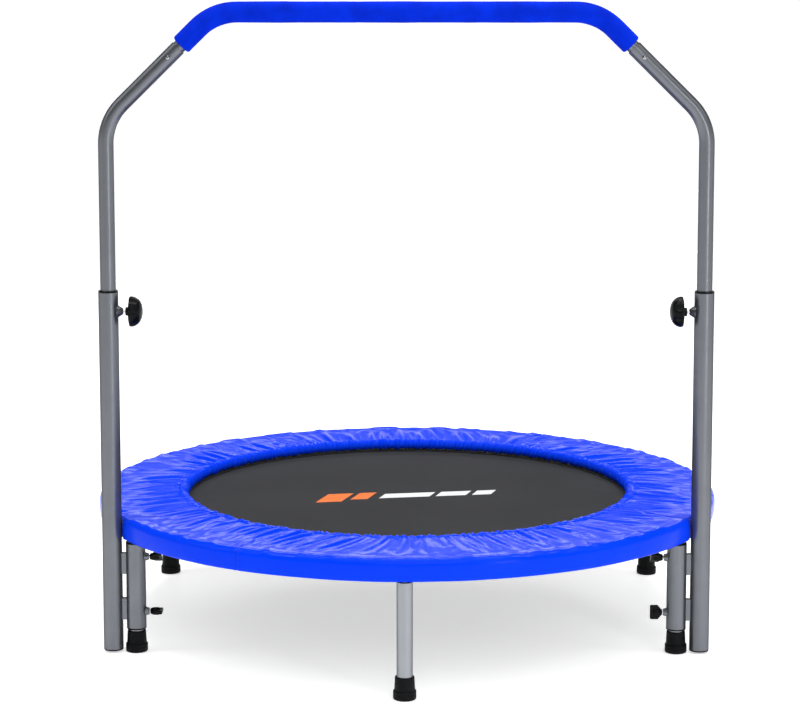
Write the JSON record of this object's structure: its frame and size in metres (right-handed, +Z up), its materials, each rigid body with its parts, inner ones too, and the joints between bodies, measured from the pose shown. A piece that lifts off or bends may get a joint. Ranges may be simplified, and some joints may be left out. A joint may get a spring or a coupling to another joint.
{
  "type": "mini trampoline",
  "caption": "Round mini trampoline on short screw-in legs, with a blue spring pad and a height-adjustable handlebar with a foam grip across one side.",
  "frame": {"origin": "on the floor, under the centre of the ring", "axes": "+Z up; -Y towards the side that the handlebar stands on; +X to the right seen from that side"},
  "size_m": [1.1838, 1.1884, 1.1917],
  "materials": {
    "silver_paint": "satin",
    "zinc_steel": "satin",
    "inner_steel": "satin",
    "black_rubber": "matte",
    "black_plastic": "satin",
    "button_metal": "polished",
    "blue_vinyl": "gloss",
    "pad_filling": "matte",
    "elastic": "matte",
    "blue_foam": "matte",
    "mat_weave": "matte",
    "black_webbing": "matte"
  },
  "bodies": {
    "frame": {"frame_tube_front": "silver_paint", "frame_tube_back": "silver_paint", "frame_couplers": "inner_steel", "frame_joint_screws": "zinc_steel", "leg_front": "silver_paint", "leg_front_left": "silver_paint", "leg_front_right": "silver_paint", "leg_back": "silver_paint", "leg_back_left": "silver_paint", "leg_back_right": "silver_paint", "foot_front": "black_rubber", "foot_front_left": "black_rubber", "foot_front_right": "black_rubber", "foot_back": "black_rubber", "foot_back_left": "black_rubber", "foot_back_right": "black_rubber", "leg_studs": "zinc_steel", "leg_inserts": "black_plastic", "spring_hooks": "zinc_steel", "springs": "zinc_steel", "pad_foam": "pad_filling", "pad_cover": "blue_vinyl", "pad_elastic": "elastic", "pole_tube_left": "silver_paint", "pole_tube_right": "silver_paint", "leg_sleeve_left": "silver_paint", "leg_sleeve_right": "silver_paint", "sleeve_tabs_left": "silver_paint", "sleeve_tabs_right": "silver_paint", "handle_weld_nuts": "silver_paint", "wing_weld_nuts": "silver_paint", "pole_bushings": "black_plastic", "sleeve_bushings": "black_plastic", "pole_end_caps": "black_plastic"},
    "mat": {"mat": "mat_weave", "mat_webbing": "black_webbing", "mat_rings": "zinc_steel"},
    "handle": {"side_tube_left": "silver_paint", "side_tube_right": "silver_paint", "crossbar_tube": "silver_paint", "foam_grip": "blue_foam", "tube_glides": "black_plastic", "snap_spring_left": "zinc_steel", "snap_spring_right": "zinc_steel"},
    "button_left": {"snap_button_left": "button_metal"},
    "button_right": {"snap_button_right": "button_metal"},
    "knob_left": {"handle_knob_left": "black_plastic", "handle_screw_left": "zinc_steel"},
    "knob_right": {"handle_knob_right": "black_plastic", "handle_screw_right": "zinc_steel"},
    "wing_left_upper": {"wing_knob_left_upper": "black_plastic", "wing_screw_left_upper": "zinc_steel"},
    "wing_left_lower": {"wing_knob_left_lower": "black_plastic", "wing_screw_left_lower": "zinc_steel"},
    "wing_right_upper": {"wing_knob_right_upper": "black_plastic", "wing_screw_right_upper": "zinc_steel"},
    "wing_right_lower": {"wing_knob_right_lower": "black_plastic", "wing_screw_right_lower": "zinc_steel"}
  },
  "joints": [
    {"name": "handle_height", "type": "slide", "parent": "frame", "child": "handle", "axis": [0, 0, 1], "range_m": [-0.22, 0]},
    {"name": "mat_bounce", "type": "slide", "parent": "frame", "child": "mat", "axis": [0, 0, 1], "range_m": [-0.15, 0], "stiffness_N_per_m": 8000, "springref_m": 0.002, "deforming": ["springs"]},
    {"name": "snap_button_left_press", "type": "slide", "parent": "handle", "child": "button_left", "axis": [0, 1, 0], "range_m": [0, 0.004], "stiffness_N_per_m": 1500, "springref_m": -0.002, "deforming": ["snap_spring_left"]},
    {"name": "snap_button_right_press", "type": "slide", "parent": "handle", "child": "button_right", "axis": [0, 1, 0], "range_m": [0, 0.004], "stiffness_N_per_m": 1500, "springref_m": -0.002, "deforming": ["snap_spring_right"]},
    {"name": "handle_knob_left_turn", "type": "hinge", "parent": "frame", "child": "knob_left", "pos_m": [-0.5, -0.287, 0.633], "axis": [1, 0, 0], "continuous": true},
    {"name": "handle_knob_right_turn", "type": "hinge", "parent": "frame", "child": "knob_right", "pos_m": [0.5, -0.287, 0.633], "axis": [-1, 0, 0], "continuous": true},
    {"name": "wing_left_upper_turn", "type": "hinge", "parent": "frame", "child": "wing_left_upper", "pos_m": [-0.47, -0.287, 0.178], "axis": [1, 0, 0], "continuous": true},
    {"name": "wing_left_lower_turn", "type": "hinge", "parent": "frame", "child": "wing_left_lower", "pos_m": [-0.47, -0.287, 0.075], "axis": [1, 0, 0], "continuous": true},
    {"name": "wing_right_upper_turn", "type": "hinge", "parent": "frame", "child": "wing_right_upper", "pos_m": [0.47, -0.287, 0.178], "axis": [-1, 0, 0], "continuous": true},
    {"name": "wing_right_lower_turn", "type": "hinge", "parent": "frame", "child": "wing_right_lower", "pos_m": [0.47, -0.287, 0.075], "axis": [-1, 0, 0], "continuous": true}
  ]
}
